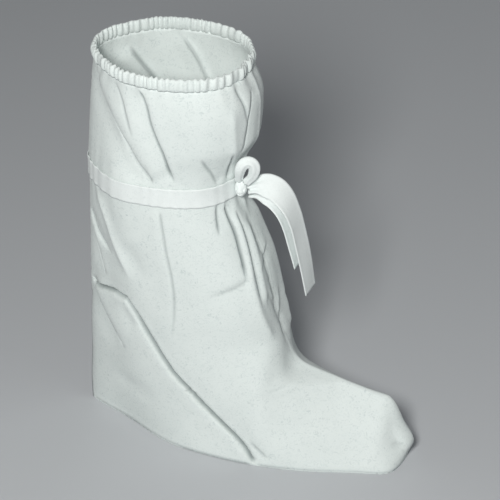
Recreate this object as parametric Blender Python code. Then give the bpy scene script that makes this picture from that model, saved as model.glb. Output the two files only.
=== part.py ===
"""Tall tie-on boot cover: a sewn nonwoven shell with a flat sole panel, an elastic collar and a tie tape.

The shell stands empty on its sole, toe towards +X and the wearer's left towards +Y. The origin is on
the floor under the middle of the foot. Tables are in millimetres or in shares of a driving dimension.
"""
import math
from collections import namedtuple

import bmesh
import bpy
import numpy as np

MM = 0.001

# Driving dimensions
FOOT_LENGTH = 343 * MM
BALL_WIDTH = 132 * MM
UPPER_TOP = 411 * MM
CASING_TOP = 424 * MM
WALL = 1.1 * MM
SOLE_THICKNESS = 1.5 * MM
CLEARANCE = 0.3 * MM

TAPE_WIDTH = 24 * MM
TAPE_THICKNESS = 0.9 * MM

CASING_WALL = 2 * WALL
CASING_BULGE = 1 * MM
CASING_ROUND = 3 * MM

HEEL_X = -FOOT_LENGTH / 2
HALF_BALL = BALL_WIDTH / 2

# Fineness of the mesh
COLUMNS = 60
MEASURING_COLUMNS = 240
FOLD_STEPS = 8
CURVE_STEPS = 20
ROUTE_STEP = 5 * MM
KNOT_SEGMENTS = (16, 10)
SHARP_ANGLE = math.radians(40)
WELD = 1e-4 * MM

# Half-widths of a section are given where these shares of its length lie, heel to toe
STATIONS = (0.0, 0.12, 0.35, 0.55, 0.72, 0.87, 0.97, 1.0)
STATION_ANGLES = np.arccos(1 - 2 * np.array(STATIONS))
TIP_STATION = STATIONS[-2]
EASE = 0.12
EASE_WEIGHTS = (0.25, 0.5, 0.25)

# Side outline: height in mm, ends as shares of the foot length, and mesh rows up to the next height
Outline = namedtuple("Outline", "height back front rows")
OUTLINE = (
    Outline(1.8, 0.000, 0.983, 1), Outline(5, 0.000, 0.985, 1), Outline(20, 0.000, 1.000, 1),
    Outline(44, 0.003, 0.955, 2), Outline(67, 0.006, 0.927, 1), Outline(71, 0.006, 0.875, 2),
    Outline(79, 0.006, 0.775, 2), Outline(90, 0.006, 0.664, 2), Outline(101, 0.006, 0.630, 2),
    Outline(125, 0.009, 0.606, 3), Outline(160, 0.012, 0.580, 3), Outline(200, 0.015, 0.555, 3),
    Outline(240, 0.017, 0.515, 3), Outline(281, 0.023, 0.471, 1), Outline(290, 0.023, 0.469, 1),
    Outline(299, 0.023, 0.471, 1), Outline(318, 0.025, 0.485, 2), Outline(345, 0.029, 0.523, 3),
    Outline(380, 0.037, 0.529, 2), Outline(UPPER_TOP / MM, 0.050, 0.496, 0),
)
OUTLINE_HEIGHTS = [o.height * MM for o in OUTLINE]

# Level sections: height in mm and half-widths as shares of half the ball width. The first is the footprint
Section = namedtuple("Section", "height heel ankle waist ball toe tip")
SECTIONS = (
    Section(5, 0.31, 0.89, 0.98, 0.89, 0.68, 0.55),
    Section(125, 0.41, 0.79, 0.83, 0.79, 0.67, 0.45),
    Section(160, 0.41, 0.79, 0.84, 0.81, 0.70, 0.49),
    Section(200, 0.43, 0.80, 0.86, 0.82, 0.69, 0.43),
    Section(240, 0.47, 0.83, 0.88, 0.82, 0.66, 0.36),
    Section(290, 0.52, 0.85, 0.88, 0.81, 0.63, 0.30),
    Section(318, 0.51, 0.85, 0.89, 0.82, 0.65, 0.33),
    Section(345, 0.50, 0.87, 0.93, 0.87, 0.70, 0.38),
    Section(380, 0.52, 0.90, 0.96, 0.90, 0.73, 0.40),
    Section(UPPER_TOP / MM, 0.54, 0.90, 0.95, 0.88, 0.71, 0.39),
)
FOOTPRINT, ANKLE = (s.height * MM for s in SECTIONS[:2])

# Edge where the foot's side turns into its front: height in mm, distance back from the front end as a share
# of the foot length, half-width as a share of half the ball width. Over the toe it is the ridge of the vamp
Edge = namedtuple("Edge", "height setback half")
EDGES = (
    Edge(20, 0.022, 0.17), Edge(44, 0.020, 0.11), Edge(67, 0.016, 0.06), Edge(71, 0.012, 0.05),
    Edge(79, 0.010, 0.05), Edge(90, 0.008, 0.06), Edge(101, 0.008, 0.15), Edge(113, 0.012, 0.30),
    Edge(125, 0.018, 0.45),
)
EDGE_HEIGHTS = [e.height * MM for e in EDGES]

# How the foot's walls curve on their way up, above zero inwards and below zero outwards, at shares of the
# foot length
Curve = namedtuple("Curve", "along inward")
CURVES = (
    Curve(0.00, 0.50), Curve(0.40, 0.40), Curve(0.50, 0.00), Curve(0.57, -0.80), Curve(0.65, -0.90),
    Curve(0.76, -0.30), Curve(0.86, 0.00), Curve(1.00, 0.00),
)

# Between these shares of the foot length the cloth of the sides is stretched flat over the walls. It slackens
# between these heights in mm, by these shares on the right and on the left
FLANK_ENDS = (0.45, 0.78)
FLANK_SLACK = (35, 90)
FLANK_LOSS = (0.2, 0.8)
FLANK_STEPS = 60
BAND_ROWS = (281, 290, 299)

# Main folds of the shell: even rise and one-sided step in mm across the fold, its half-width in mm, the
# shares of its length over which it fades in and out, and its route as (share of the way round, height)
Fold = namedtuple("Fold", "name rise step width fade_in fade_out route")
FOLDS = (
    Fold("heel_diagonal", -2.0, 3.5, 10, 0.05, 0.02,
         ((0.02, 156), (0.083, 158), (0.142, 160), (0.182, 139), (0.201, 121), (0.217, 99), (0.225, 87),
          (0.218, 76), (0.213, 63), (0.23, 50), (0.245, 37), (0.258, 24), (0.273, 2))),
    Fold("heel_corner", -2.5, 2.5, 9, 0.10, 0.35,
         ((0.03, 156), (0.06, 140), (0.09, 124), (0.117, 109), (0.13, 96))),
    Fold("upper_back_crease", -2.5, -3.5, 9, 0.15, 0.25,
         ((0.081, 398), (0.142, 367), (0.21, 331), (0.268, 306))),
    Fold("upper_side_crease", -2.0, -2.5, 9, 0.15, 0.25,
         ((0.222, 406), (0.238, 376), (0.265, 344), (0.31, 310))),
    Fold("calf_ridge", 2.5, 0.0, 10, 0.20, 0.30, ((0.103, 266), (0.128, 236), (0.15, 204), (0.168, 175))),
    Fold("side_crease", -1.5, 1.0, 11, 0.20, 0.30, ((0.276, 268), (0.267, 222), (0.26, 175), (0.24, 118))),
    Fold("shin_ridge_near", 3.0, 0.0, 8, 0.15, 0.10,
         ((0.452, 268), (0.443, 232), (0.434, 200), (0.434, 164), (0.455, 126), (0.48, 98))),
    Fold("shin_ridge_far", 2.5, 0.0, 9, 0.15, 0.10, ((0.527, 270), (0.553, 230), (0.555, 180), (0.545, 110))),
    Fold("shin_valley", -3.0, 0.0, 7, 0.20, 0.20, ((0.50, 270), (0.497, 200), (0.50, 105))),
    Fold("far_ankle_fold", -1.5, 2.5, 10, 0.10, 0.05, ((0.60, 150), (0.68, 100), (0.71, 60), (0.72, 2))),
    Fold("far_calf_crease", -1.5, 1.5, 10, 0.20, 0.30, ((0.83, 270), (0.80, 220), (0.78, 160))),
    Fold("far_upper_crease", -1.5, 2.5, 9, 0.15, 0.25, ((0.90, 398), (0.84, 360), (0.76, 310))),
)

# Tie tape: the knot's place on the shell as (share of the way round, height), and routes of the loop and
# the free ends as mm from the knot's centre
KNOT_PLACE = (0.474, 290)
KNOT_RADII = (6, 9, 9)
KNOT_FACE = 0.012
LOOP_ROUTE = (
    (-1.6, -3.0, 9.4), (0.0, -7.5, 17), (3, -12, 28), (6, -12, 35), (11, -10.5, 37.5), (16, -8.5, 35.5),
    (18, -7.5, 29), (14, -6, 18), (6.0, -3.5, 7.9),
)
LOOP_RADIUS = 3.4 * MM
LOOP_BEVEL_STEPS = 2
Tail = namedtuple("Tail", "node route first_across last_across")
TAILS = (
    Tail("tie_tail_front",
         ((7.0, -1, 1), (20, -2, 7), (35, -2, 5), (47, -2, -7), (55, -1, -25), (60, 0, -46), (65, 1, -73),
          (70, 2, -105)),
         (0.0, 0.5, 0.87), (0.15, 0.98, 0.0)),
    Tail("tie_tail_rear",
         ((6.7, 2, -5), (18, 2, -2), (30, 2, -5), (40, 3, -17), (47, 4, -34), (52, 5, -55), (57, 6, -79)),
         (0.0, 0.5, 0.87), (0.15, 0.98, 0.0)),
)
GATHERED_SHARE = 0.42
GATHERED_LENGTH = 26 * MM

# Colours, linear, and roughness
WHITE_CLOTH = (0.72, 0.78, 0.76, 1.0)
WHITE_TAPE = (0.80, 0.86, 0.85, 1.0)
CLOTH_ROUGHNESS = 0.75
TAPE_ROUGHNESS = 0.7


def smooth_through(at, knots, values):
    """Monotone cubic curve through the knots, with no overshoot between them."""
    at = np.atleast_1d(np.asarray(at, float))
    knots = np.asarray(knots, float)
    values = np.asarray(values, float)
    span = np.diff(knots)
    grade = np.diff(values) / span
    slope = np.zeros_like(values)
    for i in range(1, len(values) - 1):
        if grade[i - 1] * grade[i] > 0:
            left = 2 * span[i] + span[i - 1]
            right = span[i] + 2 * span[i - 1]
            slope[i] = (left + right) / (left / grade[i - 1] + right / grade[i])
    for end, beside in ((0, 1), (-1, -2)):
        guess = (2 * span[end] + span[beside]) * grade[end] - span[end] * grade[beside]
        guess /= span[end] + span[beside]
        slope[end] = guess if guess * grade[end] > 0 else 0.0
    i = np.clip(np.searchsorted(knots, at) - 1, 0, len(knots) - 2)
    t = (at - knots[i]) / span[i]
    rise = values[i + 1] - values[i]
    blend = t * t * (3 - 2 * t)
    curve_in = t * (1 - t) ** 2 * span[i] * slope[i]
    curve_out = t * t * (t - 1) * span[i] * slope[i + 1]
    return values[i] + rise * blend + curve_in + curve_out


def half_width(angle, halves):
    """Half-width of a section at each angle, eased over its neighbours so that the stations don't show."""
    total = 0.0
    for shift, weight in zip((-EASE, 0.0, EASE), EASE_WEIGHTS):
        at = angle + shift
        inside = math.pi - np.abs(math.pi - np.abs(at))
        mirrored = np.where((at < 0) | (at > math.pi), -1.0, 1.0)
        total = total + weight * mirrored * smooth_through(inside, STATION_ANGLES, halves)
    return total


def end_at(name, height):
    """Back or front end of the shell at a height, as a share of the foot length."""
    return smooth_through(height, OUTLINE_HEIGHTS, [getattr(o, name) for o in OUTLINE])[0]


def section_half(share, height):
    """Half-width of the level section at a height, at shares of its own length."""
    heights = [s.height * MM for s in SECTIONS]
    halves = [smooth_through(height, heights, [getattr(s, name) for s in SECTIONS])[0]
              for name in Section._fields[1:]]
    angle = np.arccos(1 - 2 * np.clip(share, 0, 1))
    return half_width(angle, HALF_BALL * np.array([0.0] + halves + [0.0]))


def stretched(at, values):
    """Values lifted to the taut line that lies over all of them."""
    kept = []
    for x, y in zip(at, values):
        while len(kept) > 1:
            (x0, y0), (x1, y1) = kept[-2:]
            if (x1 - x0) * (y - y0) < (y1 - y0) * (x - x0):
                break
            kept.pop()
        kept.append((x, y))
    return np.interp(at, *zip(*kept))


def wall_half(along, height, back):
    """Half-width of the walls that rise from the footprint to the ankle and to the ridge of the vamp."""
    edge_along = np.array([end_at("front", e.height * MM) - e.setback for e in EDGES])[::-1]
    edge_half = [HALF_BALL * e.half for e in EDGES][::-1]
    low = section_half((along - back) / (end_at("front", FOOTPRINT) - back), FOOTPRINT)
    shaft = section_half((along - back) / (end_at("front", ANKLE) - back), ANKLE)
    over = np.clip(along, edge_along[0], edge_along[-1])
    behind = along < edge_along[0]
    high = np.where(behind, shaft, smooth_through(over, edge_along, edge_half))
    top = np.where(behind, ANKLE, smooth_through(over, edge_along, EDGE_HEIGHTS[::-1]))
    rise = np.clip((height - FOOTPRINT) / (top - FOOTPRINT), 0, 1)
    curve = smooth_through(np.clip(along, 0, 1), [c.along for c in CURVES], [c.inward for c in CURVES])
    rise += curve * rise * (1 - rise)
    return low + (high - low) * rise


def foot_half(along, height, back, front, on_left):
    """Half-width below the ankle: the walls, with flat flanks, closed round the corner of the front."""
    corner = front - smooth_through(max(height, EDGE_HEIGHTS[0]), EDGE_HEIGHTS, [e.setback for e in EDGES])[0]
    place = np.minimum(along, corner)
    first, last = FLANK_ENDS
    flank = np.linspace(first, min(corner, last), FLANK_STEPS)
    taut = stretched(flank, wall_half(flank, height, back))
    lower, upper = FLANK_SLACK
    hold = 1 - np.where(on_left, *FLANK_LOSS[::-1]) * np.clip((height / MM - lower) / (upper - lower), 0, 1)
    side = wall_half(place, height, back)
    on_flank = (place > flank[0]) & (place < flank[-1])
    side += hold * np.where(on_flank, np.interp(place, flank, taut) - side, 0.0)
    beyond = np.clip((along - corner) / (front - corner), 0, 1)
    tip = TIP_STATION + (1 - TIP_STATION) * beyond
    return side * section_half(tip, ANKLE) / section_half(TIP_STATION, ANKLE)


def section_ring(height, columns=COLUMNS):
    """Closed level outline of the bare shell, from the heel round by the wearer's right (-Y) and back."""
    back = end_at("back", height)
    front = end_at("front", height)
    turn = np.arange(columns) / columns
    share = (1 - np.cos(2 * math.pi * turn)) / 2
    along = back + (front - back) * share
    on_left = turn > 0.5
    if height >= ANKLE:
        half = section_half(share, height)
    else:
        half = foot_half(along, height, back, front, on_left)
    ring = np.empty((columns, 3))
    ring[:, 0] = HEEL_X + FOOT_LENGTH * along
    ring[:, 1] = np.where(on_left, 1.0, -1.0) * half
    ring[:, 2] = height
    return ring


def surface_point(share, height):
    """Point of the bare shell a given share of the way round its level outline."""
    ring = section_ring(height, columns=MEASURING_COLUMNS)
    closed = np.vstack([ring, ring[:1]])
    steps = np.linalg.norm(np.diff(closed, axis=0), axis=1)
    travelled = np.concatenate([[0], np.cumsum(steps)]) / steps.sum()
    return np.array([np.interp(share % 1.0, travelled, closed[:, k]) for k in range(3)])


def grid_normals(grid):
    """Outward unit normals of a stack of closed rings."""
    around = np.roll(grid, -1, axis=1) - np.roll(grid, 1, axis=1)
    upward = np.gradient(grid, axis=0)
    normals = np.cross(around, upward)
    return normals / np.linalg.norm(normals, axis=2, keepdims=True)


def fold_offset(fold, points, normals):
    """How far one fold moves each point along its normal."""
    shares, heights = np.array(fold.route).T
    legs = np.arange(len(shares))
    fine = np.linspace(0, legs[-1], FOLD_STEPS * legs[-1] + 1)
    shares = np.interp(fine, legs, shares)
    heights = np.interp(fine, legs, heights) * MM
    line = np.array([surface_point(share, height) for share, height in zip(shares, heights)])
    start = line[:-1]
    leg = np.diff(line, axis=0)
    leg_length = np.linalg.norm(leg, axis=1)
    way = np.concatenate([[0], np.cumsum(leg_length)])
    away = points[:, None, :] - start[None]
    t = np.clip(np.einsum("psk,sk->ps", away, leg) / leg_length**2, 0, 1)
    apart = away - t[..., None] * leg[None]
    distance = np.linalg.norm(apart, axis=2)
    nearest = distance.argmin(axis=1)
    each = np.arange(len(points))
    apart = apart[each, nearest]
    share = (way[nearest] + t[each, nearest] * leg_length[nearest]) / way[-1]
    sideways = np.einsum("pk,pk->p", np.cross(leg[nearest], normals), apart)
    across = np.sign(sideways) * distance[each, nearest] / (fold.width * MM)
    fade = np.clip(share / fold.fade_in, 0, 1) * np.clip((1 - share) / fold.fade_out, 0, 1)
    even = fold.rise * np.exp(-across**2)
    odd = fold.step * across * np.exp(0.5 - across**2)
    return fade * (even + odd) * MM


def shell_grid():
    """Rings of the folded shell from its lower edge to its upper edge, and their normals."""
    heights = []
    for lower, upper in zip(OUTLINE, OUTLINE[1:]):
        heights += [lower.height + (upper.height - lower.height) * k / lower.rows for k in range(lower.rows)]
    heights.append(OUTLINE[-1].height)
    grid = np.array([section_ring(h * MM) for h in heights])
    normals = grid_normals(grid)
    flat_points = grid.reshape(-1, 3)
    flat_normals = normals.reshape(-1, 3)
    moved = sum(fold_offset(fold, flat_points, flat_normals) for fold in FOLDS)
    level = flat_normals * [1, 1, 0]
    grid = (flat_points + level * moved[:, None]).reshape(grid.shape)
    return heights, grid, grid_normals(grid)


def make_material(name, colour, roughness):
    material = bpy.data.materials.new(name)
    material.use_nodes = True
    shader = material.node_tree.nodes["Principled BSDF"]
    shader.inputs["Base Color"].default_value = colour
    shader.inputs["Roughness"].default_value = roughness
    shader.inputs["Metallic"].default_value = 0.0
    return material


def add_object(name, bm, material):
    mesh = bpy.data.meshes.new(name)
    bm.to_mesh(mesh)
    bm.free()
    mesh.materials.append(material)
    mesh.shade_smooth()
    mesh.set_sharp_from_angle(angle=SHARP_ANGLE)
    obj = bpy.data.objects.new(name, mesh)
    bpy.context.collection.objects.link(obj)
    return obj


def add_wall(obj, thickness, offset=-1.0):
    """Give a sheet its thickness: inwards at -1, to both sides at 0, outwards at 1."""
    wall = obj.modifiers.new("Wall", "SOLIDIFY")
    wall.thickness = thickness
    wall.offset = offset


def sheet_from_grid(grid, closed):
    """Quad sheet whose rows are the grid's rings or ribs; closed rings are joined at their seam."""
    rows, columns = grid.shape[:2]
    across = columns if closed else columns - 1
    bm = bmesh.new()
    made = bmesh.ops.create_grid(bm, x_segments=across, y_segments=rows - 1, size=1.0)
    for vert in made["verts"]:
        column = round((vert.co.x + 1) / 2 * across) % columns
        row = round((vert.co.y + 1) / 2 * (rows - 1))
        vert.co = grid[row, column]
    bmesh.ops.remove_doubles(bm, verts=bm.verts, dist=WELD)
    if closed:
        bmesh.ops.recalc_face_normals(bm, faces=bm.faces)
    return bm


def make_upper(grid, cloth):
    obj = add_object("upper", sheet_from_grid(grid, closed=True), cloth)
    add_wall(obj, WALL)


def make_sole(grid, cloth):
    bm = bmesh.new()
    outline = [bm.verts.new((x, y, 0.0)) for x, y, z in grid[0]]
    face = bm.faces.new(outline)
    top = bmesh.ops.extrude_face_region(bm, geom=[face])["geom"]
    raised = [item for item in top if isinstance(item, bmesh.types.BMVert)]
    bmesh.ops.translate(bm, vec=(0, 0, SOLE_THICKNESS), verts=raised)
    bmesh.ops.recalc_face_normals(bm, faces=bm.faces)
    add_object("sole", bm, cloth)


def make_collar_casing(grid, normals, cloth):
    foot = UPPER_TOP + CLEARANCE
    rows = ((foot, 0.0), (foot + CASING_ROUND, CASING_BULGE), (CASING_TOP - CASING_ROUND, CASING_BULGE),
            (CASING_TOP, 0.0))
    level = normals[-1] * [1, 1, 0]
    rings = []
    for height, offset in rows:
        ring = grid[-1] + level * offset
        ring[:, 2] = height
        rings.append(ring)
    obj = add_object("collar_casing", sheet_from_grid(np.array(rings), closed=True), cloth)
    add_wall(obj, CASING_WALL)


def make_tie_band(heights, grid, normals, tape):
    rows = [heights.index(h) for h in BAND_ROWS]
    rings = grid[rows] + normals[rows] * CLEARANCE
    obj = add_object("tie_band", sheet_from_grid(rings, closed=True), tape)
    add_wall(obj, TAPE_THICKNESS, offset=1.0)


def knot_centre():
    """Middle of the knot, seated on the band's outer face."""
    share, height = KNOT_PLACE
    before = surface_point(share - KNOT_FACE, height * MM)
    after = surface_point(share + KNOT_FACE, height * MM)
    outward = np.array([after[1] - before[1], before[0] - after[0], 0.0])
    outward /= np.linalg.norm(outward)
    seat = surface_point(share, height * MM)
    return seat + outward * (2 * CLEARANCE + TAPE_THICKNESS + KNOT_RADII[0] * MM)


def make_tie_knot(tape):
    bm = bmesh.new()
    around, upward = KNOT_SEGMENTS
    bmesh.ops.create_uvsphere(bm, u_segments=around, v_segments=upward, radius=1.0)
    bmesh.ops.scale(bm, vec=[r * MM for r in KNOT_RADII], verts=bm.verts)
    bmesh.ops.translate(bm, vec=knot_centre(), verts=bm.verts)
    add_object("tie_knot", bm, tape)


def smooth_route(points):
    """Evenly spaced points on a smooth curve through a route given from the knot's centre."""
    points = knot_centre() + np.array(points) * MM
    padded = np.vstack([2 * points[0] - points[1], points, 2 * points[-1] - points[-2]])
    fine = []
    for p0, p1, p2, p3 in zip(padded, padded[1:], padded[2:], padded[3:]):
        for t in np.linspace(0, 1, CURVE_STEPS, endpoint=False):
            fine.append(0.5 * (2 * p1 + (p2 - p0) * t + (2 * p0 - 5 * p1 + 4 * p2 - p3) * t**2
                               + (3 * p1 - p0 - 3 * p2 + p3) * t**3))
    fine.append(points[-1])
    fine = np.array(fine)
    way = np.concatenate([[0], np.cumsum(np.linalg.norm(np.diff(fine, axis=0), axis=1))])
    stops = np.linspace(0, way[-1], max(2, round(way[-1] / ROUTE_STEP)) + 1)
    return np.column_stack([np.interp(stops, way, fine[:, k]) for k in range(3)])


def make_tie_loop(tape):
    """Rolled loop of tape over the knot."""
    path = smooth_route(LOOP_ROUTE)
    curve = bpy.data.curves.new("tie_loop", "CURVE")
    curve.dimensions = "3D"
    curve.bevel_depth = LOOP_RADIUS
    curve.bevel_resolution = LOOP_BEVEL_STEPS
    curve.use_fill_caps = True
    spline = curve.splines.new("POLY")
    spline.points.add(len(path) - 1)
    for point, place in zip(spline.points, path):
        point.co = (*place, 1.0)
    curve.materials.append(tape)
    bpy.context.collection.objects.link(bpy.data.objects.new("tie_loop", curve))


def make_tail(tail, tape):
    """Flat free end of the tape, gathered at the knot and turning as it comes down."""
    path = smooth_route(tail.route)
    tangents = np.gradient(path, axis=0)
    tangents /= np.linalg.norm(tangents, axis=1, keepdims=True)
    way = np.concatenate([[0], np.cumsum(np.linalg.norm(np.diff(path, axis=0), axis=1))])
    ribs = []
    for place, tangent, travelled in zip(path, tangents, way):
        turn = travelled / way[-1]
        across = (1 - turn) * np.array(tail.first_across) + turn * np.array(tail.last_across)
        across -= tangent * (across @ tangent)
        across /= np.linalg.norm(across)
        open_share = min(1.0, travelled / GATHERED_LENGTH)
        half = TAPE_WIDTH / 2 * (GATHERED_SHARE + (1 - GATHERED_SHARE) * open_share)
        ribs.append([place - across * half, place, place + across * half])
    obj = add_object(tail.node, sheet_from_grid(np.array(ribs), closed=False), tape)
    add_wall(obj, TAPE_THICKNESS, offset=0.0)


def clear_scene():
    for obj in list(bpy.data.objects):
        bpy.data.objects.remove(obj)


def main():
    clear_scene()
    cloth = make_material("nonwoven_cloth", WHITE_CLOTH, CLOTH_ROUGHNESS)
    tape = make_material("tie_tape", WHITE_TAPE, TAPE_ROUGHNESS)
    heights, grid, normals = shell_grid()
    make_upper(grid, cloth)
    make_sole(grid, cloth)
    make_collar_casing(grid, normals, cloth)
    make_tie_band(heights, grid, normals, tape)
    make_tie_knot(tape)
    make_tie_loop(tape)
    for tail in TAILS:
        make_tail(tail, tape)


main()
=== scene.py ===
"""Looks of a tall tie-on boot cover: folded nonwoven shell, ruffled elastic collar, knotted tie tape.

Every piece is in metres in the part's own frame: toe towards +X, the wearer's left towards +Y, the floor
at zero. Tables are in millimetres or in shares of the foot's length and of half the ball width.
"""
import math
from collections import namedtuple

import bmesh
import bpy
import numpy as np
from mathutils import Matrix, Vector, noise


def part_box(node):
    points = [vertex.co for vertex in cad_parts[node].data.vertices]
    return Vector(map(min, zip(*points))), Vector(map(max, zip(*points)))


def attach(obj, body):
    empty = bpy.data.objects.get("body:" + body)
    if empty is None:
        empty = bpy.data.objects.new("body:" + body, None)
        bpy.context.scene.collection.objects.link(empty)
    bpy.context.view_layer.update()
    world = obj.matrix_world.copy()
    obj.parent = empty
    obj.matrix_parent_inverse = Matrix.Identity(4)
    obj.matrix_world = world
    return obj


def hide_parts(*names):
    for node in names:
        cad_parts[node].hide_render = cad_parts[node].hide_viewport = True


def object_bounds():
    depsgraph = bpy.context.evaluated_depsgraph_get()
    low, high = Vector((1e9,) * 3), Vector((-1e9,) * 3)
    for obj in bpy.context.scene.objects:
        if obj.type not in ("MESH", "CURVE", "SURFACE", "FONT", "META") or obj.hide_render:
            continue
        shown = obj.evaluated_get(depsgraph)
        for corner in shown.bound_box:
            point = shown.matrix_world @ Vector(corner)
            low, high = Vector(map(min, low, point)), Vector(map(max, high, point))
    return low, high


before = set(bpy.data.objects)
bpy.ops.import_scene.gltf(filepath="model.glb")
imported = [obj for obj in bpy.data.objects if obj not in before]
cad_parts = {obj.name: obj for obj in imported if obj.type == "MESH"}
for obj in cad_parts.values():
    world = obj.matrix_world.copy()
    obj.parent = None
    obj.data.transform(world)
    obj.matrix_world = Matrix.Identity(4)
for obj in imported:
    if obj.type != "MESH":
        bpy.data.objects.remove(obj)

bl_info = {
    "name": "Boot cover",
    "version": (1, 0, 0),
    "blender": (4, 5, 0),
    "location": "3D View > Sidebar > Boot cover",
    "description": "Makes the cloth pieces of a tall tie-on boot cover and a studio stage for it",
    "category": "Add Mesh",
}

MM = 0.001
CAD_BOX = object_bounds()
UPPER_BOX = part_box("upper")
CASING_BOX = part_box("collar_casing")
SOLE_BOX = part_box("sole")
KNOT_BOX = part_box("tie_knot")
KNOT_CENTRE = (np.array(KNOT_BOX[0]) + np.array(KNOT_BOX[1])) / 2

# Half-widths of a level section are given where these shares of its length lie, heel to toe
STATIONS = (0.0, 0.12, 0.35, 0.55, 0.72, 0.87, 0.97, 1.0)
STATION_ANGLES = np.arccos(1 - 2 * np.array(STATIONS))
TIP_STATION = STATIONS[-2]
EASE = 0.12
EASE_WEIGHTS = (0.25, 0.5, 0.25)

# Side outline of the shell: height in mm, ends as shares of the foot length
Outline = namedtuple("Outline", "height back front")
OUTLINE = (
    Outline(0.3, 0.0, 0.983), Outline(5, 0.0, 0.985), Outline(20, 0.0, 1.0), Outline(44, 0.003, 0.955),
    Outline(67, 0.006, 0.927), Outline(71, 0.006, 0.875), Outline(79, 0.006, 0.775),
    Outline(90, 0.006, 0.664), Outline(101, 0.006, 0.63), Outline(125, 0.009, 0.606),
    Outline(160, 0.012, 0.58), Outline(200, 0.015, 0.555), Outline(240, 0.017, 0.515),
    Outline(281, 0.023, 0.471), Outline(290, 0.023, 0.469), Outline(299, 0.023, 0.471),
    Outline(318, 0.025, 0.485), Outline(345, 0.029, 0.523), Outline(380, 0.037, 0.529),
    Outline(411, 0.05, 0.496),
)
OUTLINE_HEIGHTS = [o.height * MM for o in OUTLINE]

# Level sections: height in mm and half-widths as shares of half the ball width. The first is the footprint
Section = namedtuple("Section", "height heel ankle waist ball toe tip")
SECTIONS = (
    Section(5, 0.31, 0.89, 0.98, 0.89, 0.68, 0.55),
    Section(125, 0.41, 0.79, 0.83, 0.79, 0.67, 0.45),
    Section(160, 0.41, 0.79, 0.84, 0.81, 0.70, 0.49),
    Section(200, 0.43, 0.80, 0.86, 0.82, 0.69, 0.43),
    Section(240, 0.47, 0.83, 0.88, 0.82, 0.66, 0.36),
    Section(290, 0.52, 0.85, 0.88, 0.81, 0.63, 0.30),
    Section(318, 0.51, 0.85, 0.89, 0.82, 0.65, 0.33),
    Section(345, 0.50, 0.87, 0.93, 0.87, 0.70, 0.38),
    Section(380, 0.52, 0.90, 0.96, 0.90, 0.73, 0.40),
    Section(411, 0.54, 0.90, 0.95, 0.88, 0.71, 0.39),
)
FOOTPRINT, ANKLE = (s.height * MM for s in SECTIONS[:2])

# Edge where the foot's side turns into its front: height in mm, distance back from the front end as a share
# of the foot length, half-width as a share of half the ball width. Over the toe it is the ridge of the vamp
Edge = namedtuple("Edge", "height setback half")
EDGES = (
    Edge(20, 0.022, 0.17), Edge(44, 0.02, 0.11), Edge(67, 0.016, 0.06), Edge(71, 0.012, 0.05),
    Edge(79, 0.01, 0.05), Edge(90, 0.008, 0.06), Edge(101, 0.008, 0.15), Edge(113, 0.012, 0.3),
    Edge(125, 0.018, 0.45),
)
EDGE_HEIGHTS = [e.height * MM for e in EDGES]

# How the foot's walls curve on their way up, above zero inwards and below zero outwards, at shares of the
# foot length
Curve = namedtuple("Curve", "along inward")
CURVES = (
    Curve(0.0, 0.5), Curve(0.4, 0.4), Curve(0.5, 0.0), Curve(0.57, -0.8), Curve(0.65, -0.9),
    Curve(0.76, -0.3), Curve(0.86, 0.0), Curve(1.0, 0.0),
)

# Between these shares of the foot length the cloth of the sides is stretched flat over the walls. It slackens
# between these heights in mm, by these shares on the right and on the left
FLANK_ENDS = (0.45, 0.78)
FLANK_SLACK = (35, 90)
FLANK_LOSS = (0.2, 0.8)
FLANK_STEPS = 60
LOWER_EDGE = OUTLINE_HEIGHTS[0]
UPPER_EDGE = OUTLINE_HEIGHTS[-1]
BAND_HEIGHT = 290 * MM
SHAFT_MIDDLE = 0.26

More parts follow.
